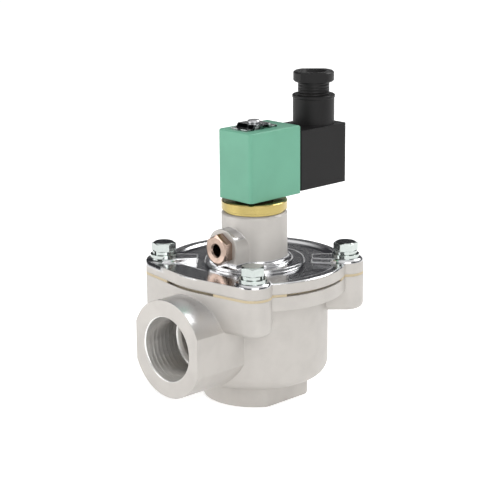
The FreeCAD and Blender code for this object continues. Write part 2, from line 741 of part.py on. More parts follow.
# Diaphragm: fabric-reinforced rubber moulding, clamped at its rim between body
# and bonnet, dished down to the seat, with ears round the four screws.
diaphragm = new_body("diaphragm")
MEMBRANE = "diaphragm_thickness"
CENTRE_LOW = "seat_height + seal_gap"
turned(diaphragm, "membrane", [
    ("hub_radius + seal_gap", CENTRE_LOW), ("diaphragm_slope_inner", CENTRE_LOW),
    ("diaphragm_slope_inner + slope_run", CENTRE_LOW + " + slope_step"),
    ("diaphragm_slope_outer - slope_run", "split_height - slope_step"),
    ("diaphragm_slope_outer", "split_height"),
    ("bead_radius - bead_half_width", "split_height"),
    ("bead_radius - bead_half_width", "split_height - bead_depth"),
    ("bead_radius + bead_half_width", "split_height - bead_depth"),
    ("bead_radius + bead_half_width", "split_height"),
    ("diaphragm_radius", "split_height"), ("diaphragm_radius", "split_height + " + MEMBRANE),
    ("diaphragm_slope_outer - slope_shift", "split_height + " + MEMBRANE),
    ("diaphragm_slope_outer - slope_run - slope_shift",
     "split_height - slope_step + " + MEMBRANE),
    ("diaphragm_slope_inner + slope_run - slope_shift",
     CENTRE_LOW + " + slope_step + " + MEMBRANE),
    ("diaphragm_slope_inner - slope_shift", CENTRE_LOW + " + " + MEMBRANE),
    ("hub_radius + seal_gap", CENTRE_LOW + " + " + MEMBRANE)])
extruded(diaphragm, "screw_ears", "XY_Plane", lug_circles("lug_radius"),
         "split_height", MEMBRANE)


def ear_sector(sketch):
    """Stretch of the rim beside a lug, out to the flange's edge."""
    rim = []
    for step in ("-1", "-0.5", "0", "0.5", "1"):
        angle = "(45 + %s * diaphragm_ear_half_angle)" % step
        rim.append(("flange_radius * sin%s" % angle, "-flange_radius * cos%s" % angle))
    inner = "(diaphragm_radius - ear_lap)"
    for step in ("1", "-1"):
        angle = "(45 + %s * diaphragm_ear_half_angle)" % step
        rim.append((inner + " * sin" + angle, "-" + inner + " * cos" + angle))
    outline(sketch, rim)


def inlet_ears(sketch):
    """Stretches of the rim that reach the inlet side's wall beside its two lugs."""
    start = ["%s + ear_start * (%s - (%s))" % (near_end, far_end, near_end)
             for near_end, far_end in zip(WALL_FLANGE, WALL_LUG)]
    for sign in ("", "-"):
        outline(sketch, [
            ("%s(%s)" % (sign, start[0]), start[1]), ("%s(%s)" % (sign, WALL_LUG[0]), WALL_LUG[1]),
            (sign + "lug_across", "-lug_across"),
            ("%s(%s)" % (sign, start[0]), "-lug_across")])


sector = extruded(diaphragm, "rim_ear", "XY_Plane", ear_sector, "split_height", MEMBRANE)
around_axis(diaphragm, "rim_ears", [sector])
extruded(diaphragm, "inlet_ears", "XY_Plane", inlet_ears, "split_height", MEMBRANE)
extruded(diaphragm, "ear_holes", "XY_Plane", lug_circles(SCREW_GAP), "split_height", MEMBRANE,
         cut=True)
extruded(diaphragm, "bleed_hole", "XY_Plane",
         lambda sketch: circle(sketch, "0", "0.5 * (diaphragm_slope_inner + diaphragm_slope_outer)",
                               "bleed_hole_radius"),
         CENTRE_LOW, "split_height - seat_height", cut=True)

# Diaphragm hub: plate above, washer below, clamped by a stud and nut, so that
# the membrane's centre moves as one stiff piece.
PLATE_LOW = CENTRE_LOW + " + diaphragm_thickness + seal_gap / 2"
PLATE_TOP = PLATE_LOW + " + support_plate_thickness"
support_plate = new_body("support_plate")
turned(support_plate, "plate", [
    ("hub_radius + seal_gap", PLATE_LOW), ("support_plate_radius", PLATE_LOW),
    ("support_plate_radius", PLATE_TOP), ("hub_radius + seal_gap", PLATE_TOP)])
WASHER_TOP = "seat_height + seal_gap / 2"
backing_washer = new_body("backing_washer")
turned(backing_washer, "washer", [
    ("hub_radius + seal_gap", WASHER_TOP + " - backing_washer_thickness"),
    ("backing_washer_radius", WASHER_TOP + " - backing_washer_thickness"),
    ("backing_washer_radius", WASHER_TOP), ("hub_radius + seal_gap", WASHER_TOP)])
HEAD_TOP = WASHER_TOP + " - backing_washer_thickness"
hub_stud = new_body("hub_stud")
turned(hub_stud, "stud", [
    ("0", HEAD_TOP + " - hub_head_height"),
    ("hub_head_radius - hub_head_chamfer", HEAD_TOP + " - hub_head_height"),
    ("hub_head_radius", HEAD_TOP + " - hub_head_height + hub_head_chamfer"),
    ("hub_head_radius", HEAD_TOP), ("hub_radius", HEAD_TOP),
    ("hub_radius", PLATE_TOP + " + hub_nut_height + stud_end"),
    ("0", PLATE_TOP + " + hub_nut_height + stud_end")])


def hexagon(sketch, across, up, flats, turn="0"):
    """Six corners about a centre, with the given width across flats."""
    corners = []
    for step in range(6):
        angle = "(%s + %d)" % (turn, 60 * step)
        corners.append((
            "%s + %s / (2 * cos(30)) * cos%s" % (across, flats, angle),
            "%s + %s / (2 * cos(30)) * sin%s" % (up, flats, angle)))
    outline(sketch, corners)


hub_nut = new_body("hub_nut")
extruded(hub_nut, "nut", "XY_Plane", lambda sketch: hexagon(sketch, "0", "0", "hub_nut_flats"),
         PLATE_TOP, "hub_nut_height")
extruded(hub_nut, "nut_hole", "XY_Plane",
         lambda sketch: circle(sketch, "0", "0", "hub_radius + thread_clearance"),
         PLATE_TOP, "hub_nut_height", cut=True)

# Screws and washers that clamp the bonnet down on the body.
flat_washers = new_body("flat_washers")


def washer_rings(radius):
    """Drawing function for four rings of one outer radius about the screws."""
    def draw(sketch):
        lug_circles(radius)(sketch)
        lug_circles(SCREW_GAP)(sketch)
    return draw


extruded(flat_washers, "flat_rings", "XY_Plane", washer_rings("washer_radius"),
         "lug_pad_height", "washer_thickness")
spring_washers = new_body("spring_washers")
extruded(spring_washers, "spring_rings", "XY_Plane", washer_rings("spring_washer_radius"),
         "lug_pad_height + washer_thickness", "spring_washer_thickness")


def washer_slit(sketch):
    """Slit across one side of the front right spring washer."""
    rectangle(sketch, "lug_across", "lug_across + spring_washer_radius + overlap",
              "-lug_across - spring_washer_slit / 2", "-lug_across + spring_washer_slit / 2")


slit = extruded(spring_washers, "slit", "XY_Plane", washer_slit,
                "lug_pad_height + washer_thickness", "spring_washer_thickness", cut=True)
around_axis(spring_washers, "slits", [slit])
SCREW_SEAT = "lug_pad_height + washer_thickness + spring_washer_thickness"
HEAD_CORNER = "screw_head_flats / (2 * cos(30)) + overlap"
bonnet_screws = new_body("bonnet_screws")
head = extruded(bonnet_screws, "screw_head", "XY_Plane",
                lambda sketch: hexagon(sketch, "lug_across", "-lug_across", "screw_head_flats",
                                       "screw_head_turn"),
                SCREW_SEAT, "screw_head_height")
head_chamfer = turned(bonnet_screws, "head_chamfer", [
    ("lug_across + screw_head_flats / 2 - hex_chamfer", SCREW_SEAT + " + screw_head_height"),
    ("lug_across + " + HEAD_CORNER, SCREW_SEAT + " + screw_head_height - 2 * hex_chamfer"),
    ("lug_across + " + HEAD_CORNER, SCREW_SEAT + " + screw_head_height")],
    cut=True, axis_across="lug_across", offset="lug_across")
shank = extruded(bonnet_screws, "screw_shank", "XY_Plane",
                 lambda sketch: circle(sketch, "lug_across", "-lug_across", "screw_radius"),
                 SCREW_SEAT + " - screw_length", "screw_length")
around_axis(bonnet_screws, "screws", [head, head_chamfer, shank])

# Bronze breather that lets the pilot air out of the side boss.
exhaust_fitting = new_body("exhaust_fitting")
extruded(exhaust_fitting, "exhaust_hex", "XZ_Plane",
         lambda sketch: hexagon(sketch, "0", "exhaust_axis_height", "exhaust_hex_flats", "30"),
         "exhaust_boss_reach", "exhaust_hex_height")
HEX_FACE = "-exhaust_boss_reach - exhaust_hex_height"
HEX_CORNER = "exhaust_axis_height + exhaust_hex_flats / (2 * cos(30)) + overlap"
turned(exhaust_fitting, "hex_chamfer", [
    (HEX_FACE, "exhaust_axis_height + exhaust_hex_flats / 2 - hex_chamfer"),
    (HEX_FACE + " + 2 * hex_chamfer", HEX_CORNER), (HEX_FACE, HEX_CORNER)],
    cut=True, axis_up="exhaust_axis_height", plane="YZ_Plane")
SPIGOT_END = "-exhaust_boss_reach + exhaust_port_depth - exhaust_spigot_gap"
turned(exhaust_fitting, "exhaust_spigot", [
    ("-exhaust_boss_reach - exhaust_spigot_gap", "exhaust_axis_height"),
    ("-exhaust_boss_reach - exhaust_spigot_gap",
     "exhaust_axis_height + exhaust_port_radius - thread_clearance"),
    (SPIGOT_END, "exhaust_axis_height + exhaust_port_radius - thread_clearance"),
    (SPIGOT_END, "exhaust_axis_height")],
    axis_up="exhaust_axis_height", plane="YZ_Plane")
turned(exhaust_fitting, "exhaust_hole", [
    (HEX_FACE, "exhaust_axis_height"),
    (HEX_FACE, "exhaust_axis_height + exhaust_hole_radius + exhaust_hole_chamfer"),
    (HEX_FACE + " + exhaust_hole_chamfer", "exhaust_axis_height + exhaust_hole_radius"),
    ("-exhaust_boss_reach + exhaust_port_depth", "exhaust_axis_height + exhaust_hole_radius"),
    ("-exhaust_boss_reach + exhaust_port_depth", "exhaust_axis_height")],
    cut=True, axis_up="exhaust_axis_height", plane="YZ_Plane")

# Pilot seat: hardened nozzle pressed into the bonnet under the plunger.
pilot_seat = new_body("pilot_seat")
turned(pilot_seat, "nozzle", [
    ("pilot_orifice_radius", "pilot_seat_bottom"), ("pilot_seat_radius", "pilot_seat_bottom"),
    ("pilot_seat_radius", "pilot_chamber_floor + pilot_nozzle_foot"),
    ("pilot_nozzle_radius", "pilot_seat_top"), ("pilot_orifice_radius", "pilot_seat_top")])

# Solenoid base: brass ring screwed into the stem, sealed by an O-ring, with the
# plunger tube brazed into it.
solenoid_base = new_body("solenoid_base")
SPIGOT = "pilot_chamber_radius - thread_clearance"
turned(solenoid_base, "base", [
    ("base_cavity_radius", "base_spigot_bottom"), (SPIGOT, "base_spigot_bottom"),
    (SPIGOT, "stem_top"), ("stem_radius - base_step", "stem_top"),
    ("stem_radius - base_step", "stem_top + base_step_height"),
    ("stem_radius", "stem_top + base_step_height"),
    ("stem_radius", "base_flange_top - base_chamfer"),
    ("stem_radius - base_chamfer", "base_flange_top"),
    ("tube_radius + thread_clearance", "base_flange_top"),
    ("tube_radius + thread_clearance", "base_cavity_top"),
    ("base_cavity_radius", "base_cavity_top")])
base_oring = doc.addObject("Part::Torus", "base_oring")
base_oring.Label = "base_oring"
base_oring.setExpression("Radius1", bound("pilot_chamber_radius + oring_radius + oring_squeeze"))
base_oring.setExpression("Radius2", bound("oring_radius"))
base_oring.setExpression("Placement.Base.z", bound("stem_top - oring_seat_depth / 2"))
core_tube = new_body("core_tube")
turned(core_tube, "tube", [
    ("tube_bore_radius", "base_cavity_top - tube_flange_thickness"),
    ("tube_flange_radius", "base_cavity_top - tube_flange_thickness"),
    ("tube_flange_radius", "base_cavity_top - braze_gap"),
    ("tube_radius", "base_cavity_top - braze_gap"),
    ("tube_radius", "tube_top"), ("tube_bore_radius", "tube_top")])

# Fixed core at the top of the tube, with its copper shading ring and the
# grooved stud that the retaining clip snaps onto.
plugnut = new_body("plugnut")
turned(plugnut, "fixed_core", [
    ("0", "plugnut_bottom"), ("tube_bore_radius - thread_clearance", "plugnut_bottom"),
    ("tube_bore_radius - thread_clearance", "tube_top"), ("tube_radius", "tube_top"),
    ("tube_radius", "tube_top + plugnut_shoulder"),
    ("plugnut_stud_radius", "tube_top + plugnut_shoulder"),
    ("plugnut_stud_radius", "clip_groove_height - clip_thickness / 2 - clip_gap"),
    ("clip_groove_radius", "clip_groove_height - clip_thickness / 2 - clip_gap"),
    ("clip_groove_radius", "clip_groove_height + clip_thickness / 2 + clip_gap"),
    ("plugnut_stud_radius", "clip_groove_height + clip_thickness / 2 + clip_gap"),
    ("plugnut_stud_radius", "plugnut_stud_top - stud_chamfer"),
    ("plugnut_stud_radius - stud_chamfer", "plugnut_stud_top"), ("0", "plugnut_stud_top")])
turned(plugnut, "shading_groove", [
    ("shading_inner_radius", "plugnut_bottom"), ("shading_outer_radius", "plugnut_bottom"),
    ("shading_outer_radius", "plugnut_bottom + shading_depth"),
    ("shading_inner_radius", "plugnut_bottom + shading_depth")], cut=True)
shading_ring = new_body("shading_ring")
turned(shading_ring, "copper_ring", [
    ("shading_inner_radius", "plugnut_bottom"), ("shading_outer_radius", "plugnut_bottom"),
    ("shading_outer_radius", "plugnut_bottom + shading_depth"),
    ("shading_inner_radius", "plugnut_bottom + shading_depth")])

# Plunger and its rubber seal, which close the pilot seat until the coil lifts
# them against the fixed core.
PLUNGER_TOP = "plugnut_bottom - plunger_lift - seal_gap"
plunger = new_body("plunger")
turned(plunger, "plunger_rod", [
    ("plunger_seal_radius + plunger_seal_gap", "plunger_bottom"),
    ("plunger_radius - plunger_chamfer", "plunger_bottom"),
    ("plunger_radius", "plunger_bottom + plunger_chamfer"),
    ("plunger_radius", PLUNGER_TOP + " - plunger_top_chamfer"),
    ("plunger_radius - plunger_top_chamfer", PLUNGER_TOP),
    ("core_spring_pocket_radius", PLUNGER_TOP),
    ("core_spring_pocket_radius", PLUNGER_TOP + " - core_spring_pocket_depth"),
    ("0", PLUNGER_TOP + " - core_spring_pocket_depth"),
    ("0", "plunger_bottom + plunger_seal_recess"),
    ("plunger_seal_radius + plunger_seal_gap", "plunger_bottom + plunger_seal_recess")])
plunger_seal = new_body("plunger_seal")
turned(plunger_seal, "seal_disc", [
    ("0", "pilot_seat_top + seal_gap"), ("plunger_seal_radius", "pilot_seat_top + seal_gap"),
    ("plunger_seal_radius", "plunger_bottom + plunger_seal_recess"),
    ("0", "plunger_bottom + plunger_seal_recess")])


def coil_spring(name, mean_radius, wire_radius, low, high, turns):
    """Compression spring of round wire between two levels on the valve axis."""
    length = size(high) - size(low) - 2 * size(wire_radius)
    helix = Part.makeHelix(length / size(turns), length, size(mean_radius))
    section = Part.Wire(Part.makeCircle(
        size(wire_radius), Vector(size(mean_radius), 0, 0), Vector(0, 1, 0)))
    spring = doc.addObject("Part::Feature", name)
    spring.Label = name
    spring.Shape = Part.Wire(helix.Edges).makePipeShell([section], True, True)
    spring.Placement = Placement(Vector(0, 0, size(low) + size(wire_radius)), Rotation())
    return spring


main_spring = coil_spring("main_spring", "main_spring_radius", "main_spring_wire",
                          PLATE_TOP + " + seal_gap", "spring_pocket_top - seal_gap",
                          "main_spring_turns")
core_spring = coil_spring("core_spring", "core_spring_radius", "core_spring_wire",
                          PLUNGER_TOP + " - core_spring_pocket_depth + seal_gap",
                          "plugnut_bottom - seal_gap", "core_spring_turns")

# Coil: copper winding on a bobbin inside a steel yoke, potted in a moulded block
# that can turn on the plunger tube.
COIL_BORE = "tube_radius + coil_bore_clearance"
BOBBIN = COIL_BORE + " + bobbin_wall"
coil_bobbin = new_body("coil_bobbin")
turned(coil_bobbin, "bobbin", [
    (COIL_BORE, "winding_bottom - bobbin_flange"),
    ("winding_radius", "winding_bottom - bobbin_flange"), ("winding_radius", "winding_bottom"),
    (BOBBIN, "winding_bottom"), (BOBBIN, "winding_top"), ("winding_radius", "winding_top"),
    ("winding_radius", "winding_top + bobbin_flange"),
    (COIL_BORE, "winding_top + bobbin_flange")])
coil_winding = new_body("coil_winding")
turned(coil_winding, "winding", [
    (BOBBIN, "winding_bottom"), ("winding_radius", "winding_bottom"),
    ("winding_radius", "winding_top"), (BOBBIN, "winding_top")])
YOKE_LOW = "winding_bottom - bobbin_flange"
YOKE_HIGH = "winding_top + bobbin_flange"
coil_yoke = new_body("coil_yoke")
extruded(coil_yoke, "yoke_strap", "YZ_Plane",
         lambda sketch: outline(sketch, [
             ("yoke_back", YOKE_LOW + " - yoke_thickness"), ("yoke_back", YOKE_LOW),
             ("-winding_radius - yoke_gap", YOKE_LOW),
             ("-winding_radius - yoke_gap", YOKE_HIGH),
             ("yoke_back", YOKE_HIGH), ("yoke_back", YOKE_HIGH + " + yoke_thickness"),
             ("-winding_radius - yoke_gap - yoke_thickness", YOKE_HIGH + " + yoke_thickness"),
             ("-winding_radius - yoke_gap - yoke_thickness", YOKE_LOW + " - yoke_thickness")]),
         "-yoke_half_width", "2 * yoke_half_width")
extruded(coil_yoke, "yoke_bore", "XY_Plane", lambda sketch: circle(sketch, "0", "0", COIL_BORE),
         "coil_bottom", "coil_top - coil_bottom", cut=True)


def block(body, name, half_width, front, back, low, high):
    """Upright block between two faces along Y."""
    return extruded(body, name, "XY_Plane",
                    lambda sketch: rectangle(sketch, "-(%s)" % half_width, half_width,
                                             front, back), low, "%s - (%s)" % (high, low))


coil_block = new_body("coil_block")
block(coil_block, "coil_mould", "coil_half_width", "-coil_front", "coil_back",
      "coil_bottom", "coil_top")
rounded(coil_block, "coil_uprights", "coil_rounding",
        lambda edge, middle: upright_edge(edge) and middle.y < 0)
rounded(coil_block, "coil_top_edges", "coil_top_rounding",
        lambda edge, middle: near(middle.z, size("coil_top")))
turned(coil_block, "coil_bore", [
    ("0", "coil_bottom"), (COIL_BORE, "coil_bottom"), (COIL_BORE, "coil_top"),
    ("0", "coil_top")], cut=True)
extruded(coil_block, "coil_insert", "XZ_Plane",
         lambda sketch: circle(sketch, "0", "plug_screw_height",
                               "plug_screw_radius + thread_clearance"),
         "-coil_back", "coil_insert_depth", cut=True)

# Three flat blades that the plug pushes onto.
coil_terminals = new_body("coil_terminals")
BLADE_PLACES = (("-blade_spacing / 2", "plug_screw_height"),
                ("blade_spacing / 2", "plug_screw_height"))


def upright_blades(sketch):
    """Sections of the two power blades, standing upright beside the screw."""
    for across, up in BLADE_PLACES:
        rectangle(sketch, across + " - blade_half_thickness", across + " + blade_half_thickness",
                  up + " - blade_half_width", up + " + blade_half_width")


def earth_blade(sketch):
    """Section of the earth blade, lying flat below the screw."""
    rectangle(sketch, "-blade_half_width", "blade_half_width",
              "plug_screw_height - earth_drop - blade_half_thickness",
              "plug_screw_height - earth_drop + blade_half_thickness")


BLADE_LENGTH = "blade_reach - coil_back + blade_root"
extruded(coil_terminals, "power_blades", "XZ_Plane", upright_blades, "-blade_reach", BLADE_LENGTH)
extruded(coil_terminals, "earth_blade", "XZ_Plane", earth_blade, "-blade_reach", BLADE_LENGTH)
potted = doc.addObject("Part::Compound", "potted_pieces")
potted.Links = [coil_bobbin, coil_winding, coil_yoke, coil_terminals]
coil_housing = doc.addObject("Part::Cut", "coil_housing")
coil_housing.Label = "coil_housing"
coil_housing.Base = coil_block
coil_housing.Tool = potted

# Washer between the coil and its base, and the sprung clip that holds the coil.
coil_washer = new_body("coil_washer")
turned(coil_washer, "spacer", [
    ("tube_radius + coil_washer_gap", "base_flange_top"),
    ("tube_radius + coil_washer_gap + coil_washer_width", "base_flange_top"),
    ("tube_radius + coil_washer_gap + coil_washer_width", "coil_bottom - clip_gap"),
    ("tube_radius + coil_washer_gap", "coil_bottom - clip_gap")])
retaining_clip = new_body("retaining_clip")
CLIP_LOW = "coil_top + clip_gap"
CLIP_HIGH = CLIP_LOW + " + clip_thickness"
CLIP_TOP = "clip_groove_height + clip_thickness / 2"
extruded(retaining_clip, "clip_strip", "YZ_Plane",
         lambda sketch: outline(sketch, [
             ("-clip_foot", CLIP_LOW), ("-clip_bridge_half", CLIP_LOW),
             ("-clip_bridge_half + clip_rise_run", CLIP_TOP + " - clip_thickness"),
             ("clip_bridge_half - clip_rise_run", CLIP_TOP + " - clip_thickness"),
             ("clip_bridge_half", CLIP_LOW), ("clip_foot", CLIP_LOW), ("clip_foot", CLIP_HIGH),
             ("clip_bridge_half + clip_rise_run - clip_bend", CLIP_HIGH),
             ("clip_bridge_half - clip_bend", CLIP_TOP),
             ("-clip_bridge_half + clip_bend", CLIP_TOP),
             ("-clip_bridge_half - clip_rise_run + clip_bend", CLIP_HIGH),
             ("-clip_foot", CLIP_HIGH)]),
         "-clip_half_width", "2 * clip_half_width")
extruded(retaining_clip, "clip_slot", "XY_Plane",
         lambda sketch: circle(sketch, "0", "0", "clip_groove_radius + clip_slot_gap"),
         "coil_top", "plugnut_stud_rise", cut=True)

# Plug: gasket, moulded housing with the gland collar, terminal insert and the
# long screw through the middle.
plug_gasket = new_body("plug_gasket")
block(plug_gasket, "gasket", "plug_half_width - gasket_inset", "coil_back", "plug_front",
      "plug_bottom + gasket_inset", "plug_top - gasket_inset")


def gasket_windows(sketch):
    """Openings for the three blades and the screw."""
    upright_blades(sketch)
    earth_blade(sketch)
    circle(sketch, "0", "plug_screw_height", "plug_screw_radius + plug_screw_clearance")


extruded(plug_gasket, "gasket_windows", "XZ_Plane", gasket_windows, "-plug_front",
         "gasket_thickness", cut=True)
plug_housing = new_body("plug_housing")
block(plug_housing, "plug_mould", "plug_half_width", "plug_front", "plug_back",
      "plug_bottom", "plug_top")
rounded(plug_housing, "plug_uprights", "plug_rounding",
        lambda edge, middle: upright_edge(edge) and middle.y > size("plug_back - overlap"))
turned(plug_housing, "gland_collar", [
    ("gland_axis", "plug_top - plug_wall"),
    ("gland_axis + gland_collar_radius", "plug_top - plug_wall"),
    ("gland_axis + gland_collar_radius", "gland_collar_top - gland_rim_low"),
    ("gland_axis + gland_collar_radius + gland_rim", "gland_collar_top - gland_rim_low + gland_rim"),
    ("gland_axis + gland_collar_radius + gland_rim", "gland_collar_top - gland_rim"),
    ("gland_axis + gland_collar_radius", "gland_collar_top"),
    ("gland_axis", "gland_collar_top")], axis_across="gland_axis", plane="YZ_Plane")
extruded(plug_housing, "plug_cavity", "XZ_Plane",
         lambda sketch: rectangle(sketch, "-plug_half_width + plug_wall",
                                  "plug_half_width - plug_wall",
                                  "plug_bottom + plug_wall", "plug_top - plug_wall"),
         "-plug_back + plug_wall", "plug_back - plug_wall - plug_front", cut=True)
turned(plug_housing, "gland_bore", [
    ("gland_axis", "plug_top - plug_wall - overlap"),
    ("gland_axis + cable_hole_radius", "plug_top - plug_wall - overlap"),
    ("gland_axis + cable_hole_radius", "gland_bore_bottom"),
    ("gland_axis + gland_bore_radius", "gland_bore_bottom"),
    ("gland_axis + gland_bore_radius", "gland_collar_top"),
    ("gland_axis", "gland_collar_top")], cut=True, axis_across="gland_axis", plane="YZ_Plane")
extruded(plug_housing, "plug_screw_hole", "XZ_Plane",
         lambda sketch: circle(sketch, "0", "plug_screw_height",
                               "plug_screw_radius + plug_screw_clearance"),
         "-plug_back", "plug_wall + overlap", cut=True)
terminal_block = new_body("terminal_block")
BLOCK_HALF = "plug_half_width - plug_wall - terminal_clearance"
block(terminal_block, "insert", BLOCK_HALF, "plug_front + terminal_gap",
      "plug_front + terminal_block_depth",
      "plug_bottom + plug_wall + terminal_clearance", "plug_top - plug_wall - terminal_clearance")


def blade_slots(sketch):
    """Slots for the blades, a running fit wider than them, and the screw's hole."""
    for across, up in BLADE_PLACES:
        rectangle(sketch, across + " - blade_half_thickness - blade_slack",
                  across + " + blade_half_thickness + blade_slack",
                  up + " - blade_half_width - blade_slack",
                  up + " + blade_half_width + blade_slack")
    earth = "plug_screw_height - earth_drop"
    rectangle(sketch, "-blade_half_width - blade_slack", "blade_half_width + blade_slack",
              earth + " - blade_half_thickness - blade_slack",
              earth + " + blade_half_thickness + blade_slack")
    circle(sketch, "0", "plug_screw_height", "plug_screw_radius + plug_screw_clearance")


extruded(terminal_block, "blade_slots", "XZ_Plane", blade_slots,
         "-plug_front - terminal_block_depth - overlap", "terminal_block_depth + 2 * overlap",
         cut=True)
plug_screw = new_body("plug_screw")
SCREW_TIP = "coil_back - coil_insert_depth + screw_tip_gap"
turned(plug_screw, "long_screw", [
    (SCREW_TIP, "plug_screw_height"), (SCREW_TIP, "plug_screw_height + plug_screw_radius"),
    ("plug_back", "plug_screw_height + plug_screw_radius"),
    ("plug_back", "plug_screw_height + plug_screw_head_radius"),
    ("plug_back + plug_screw_head_height",
     "plug_screw_height + plug_screw_head_radius - plug_screw_head_chamfer"),
    ("plug_back + plug_screw_head_height", "plug_screw_height")],
    axis_up="plug_screw_height", plane="YZ_Plane")
extruded(plug_screw, "driver_slot", "XZ_Plane",
         lambda sketch: rectangle(sketch, "-plug_screw_head_radius", "plug_screw_head_radius",
                                  "plug_screw_height - driver_slot_half",
                                  "plug_screw_height + driver_slot_half"),
         "-plug_back - plug_screw_head_height", "driver_slot_depth", cut=True)

# Cable gland: rubber seal, washer and the pressure screw, all empty.
gland_seal = new_body("gland_seal")
turned(gland_seal, "seal_ring", [
    ("gland_axis + cable_hole_radius", "gland_bore_bottom + seal_gap"),
    ("gland_axis + gland_neck_radius - gland_seal_gap", "gland_bore_bottom + seal_gap"),
    ("gland_axis + gland_neck_radius - gland_seal_gap", "gland_seal_top"),
    ("gland_axis + cable_hole_radius", "gland_seal_top")],
    axis_across="gland_axis", plane="YZ_Plane")
GLAND_WASHER_LOW = "gland_seal_top + seal_gap"
GLAND_WASHER_TOP = GLAND_WASHER_LOW + " + gland_washer_thickness"
gland_washer = new_body("gland_washer")
turned(gland_washer, "pressure_washer", [
    ("gland_axis + cable_hole_radius + gland_washer_gap", GLAND_WASHER_LOW),
    ("gland_axis + gland_neck_radius", GLAND_WASHER_LOW),
    ("gland_axis + gland_neck_radius", GLAND_WASHER_TOP),
    ("gland_axis + cable_hole_radius + gland_washer_gap", GLAND_WASHER_TOP)],
    axis_across="gland_axis", plane="YZ_Plane")
NUT_LOW = GLAND_WASHER_TOP + " + seal_gap"
gland_nut = new_body("gland_nut")
turned(gland_nut, "pressure_screw", [
    ("gland_axis + cable_hole_radius", NUT_LOW), ("gland_axis + gland_neck_radius", NUT_LOW),
    ("gland_axis + gland_neck_radius", "gland_nut_shoulder"),
    ("gland_axis + gland_head_radius - gland_head_chamfer", "gland_nut_shoulder"),
    ("gland_axis + gland_head_radius", "gland_nut_shoulder + gland_head_chamfer"),
    ("gland_axis + gland_head_radius", "gland_nut_top - gland_head_chamfer"),
    ("gland_axis + gland_head_radius - gland_head_chamfer", "gland_nut_top"),
    ("gland_axis + cable_hole_radius + gland_mouth_flare", "gland_nut_top"),
    ("gland_axis + cable_hole_radius", "gland_nut_top - gland_mouth_depth")],
    axis_across="gland_axis", plane="YZ_Plane")


def wrench_flats(sketch):
    """What the two flats take off the head, flush with the neck, turned to the corner."""
    flat = "gland_neck_radius"
    clear = "(gland_head_radius + overlap)"
    for sign in ("", "-"):
        outline(sketch, [
            ("%s(%s + %s * %s) * cos(45)" % (sign, depth, side, clear),
             "gland_axis - %s(%s - %s * %s) * cos(45)" % (sign, depth, side, clear))
            for depth, side in ((flat, "-1"), (clear, "-1"), (clear, "1"), (flat, "1"))])


extruded(gland_nut, "wrench_flats", "XY_Plane", wrench_flats,
         "gland_nut_shoulder", "gland_head_height", cut=True)

doc.recompute()

NODES = [
    valve_body, diaphragm, bonnet, flat_washers, spring_washers, bonnet_screws,
    exhaust_fitting, pilot_seat, base_oring, solenoid_base, core_tube, plugnut,
    shading_ring, coil_washer, retaining_clip, main_spring, core_spring,
    support_plate, backing_washer, hub_stud, hub_nut, plunger, plunger_seal,
    coil_housing, coil_bobbin, coil_winding, coil_yoke, coil_terminals,
    plug_gasket, plug_housing, terminal_block, plug_screw,
    gland_seal, gland_washer, gland_nut,
]
for item in doc.Objects:
    if "Invalid" in item.State or "Error" in item.State:
        raise RuntimeError("%s did not build: %s" % (item.Label, item.State))
for node in NODES:
    if node.Shape.isNull() or not node.Shape.isValid() or not node.Shape.Solids:
        raise RuntimeError("%s has no valid solid" % node.Label)

os.makedirs("parts", exist_ok=True)
for node in NODES:
    node.Shape.exportStep("parts/%s.step" % node.Label)
    print("%-18s solids %d  volume %9.1f" % (
        node.Label, len(node.Shape.Solids), node.Shape.Volume))
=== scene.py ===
import math
import bpy
from mathutils import Matrix, Vector


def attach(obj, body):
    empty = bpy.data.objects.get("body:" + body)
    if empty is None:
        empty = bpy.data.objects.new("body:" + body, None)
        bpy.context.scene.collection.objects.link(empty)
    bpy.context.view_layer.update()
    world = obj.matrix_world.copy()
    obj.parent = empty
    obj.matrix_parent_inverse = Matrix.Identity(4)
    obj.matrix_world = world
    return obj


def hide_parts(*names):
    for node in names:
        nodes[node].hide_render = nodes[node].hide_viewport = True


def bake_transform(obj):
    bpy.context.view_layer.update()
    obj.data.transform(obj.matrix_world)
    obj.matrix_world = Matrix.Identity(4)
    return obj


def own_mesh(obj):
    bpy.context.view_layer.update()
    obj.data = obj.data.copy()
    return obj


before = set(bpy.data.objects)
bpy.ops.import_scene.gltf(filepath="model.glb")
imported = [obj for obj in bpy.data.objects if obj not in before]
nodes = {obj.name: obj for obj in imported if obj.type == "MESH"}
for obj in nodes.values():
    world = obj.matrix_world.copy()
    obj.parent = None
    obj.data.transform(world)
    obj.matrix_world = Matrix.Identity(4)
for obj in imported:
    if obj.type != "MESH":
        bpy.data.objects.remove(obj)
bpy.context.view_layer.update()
MM = 0.001


# Valve body: aluminium die casting in a warm light grey, shot-blasted to a fine
# matte grain. The bores of its two pipe ports are machined after casting.
class Wire:
    """A number, colour or vector carried by one output socket."""

    def __init__(self, shader, socket):
        self.shader = shader
        self.socket = socket

    def math(self, operation, *values):
        return self.shader.node("Math", {"operation": operation}, values)

    def __add__(self, other):
        return self.math("ADD", self, other)

    __radd__ = __add__

    def __sub__(self, other):
        return self.math("SUBTRACT", self, other)

    def __rsub__(self, other):
        return self.math("SUBTRACT", other, self)

    def __mul__(self, other):
        return self.math("MULTIPLY", self, other)

    __rmul__ = __mul__

    def __truediv__(self, other):
        return self.math("DIVIDE", self, other)

    def __pow__(self, other):
        return self.math("POWER", self, other)


